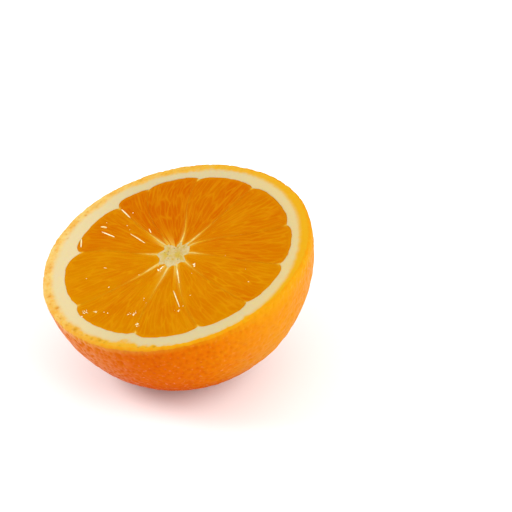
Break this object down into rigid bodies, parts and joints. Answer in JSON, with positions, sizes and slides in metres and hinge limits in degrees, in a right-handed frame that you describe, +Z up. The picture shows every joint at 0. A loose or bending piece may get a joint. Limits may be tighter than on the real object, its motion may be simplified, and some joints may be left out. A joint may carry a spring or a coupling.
{
  "type": "orange half",
  "caption": "Half of an orange cut across its middle, cut face up and leaning, with its segments, pith ring, core and skin.",
  "frame": {"origin": "middle of the small flat spot that the half rests on, on the floor", "axes": "+Z up, -Y towards the viewer of the picture, +X to the viewer's right"},
  "size_m": [0.075, 0.0757, 0.0464],
  "materials": {
    "orange_flesh_and_skin": "glossy wet cut face, satin skin"
  },
  "bodies": {
    "root": {"orange_half": "orange_flesh_and_skin"}
  },
  "joints": []
}
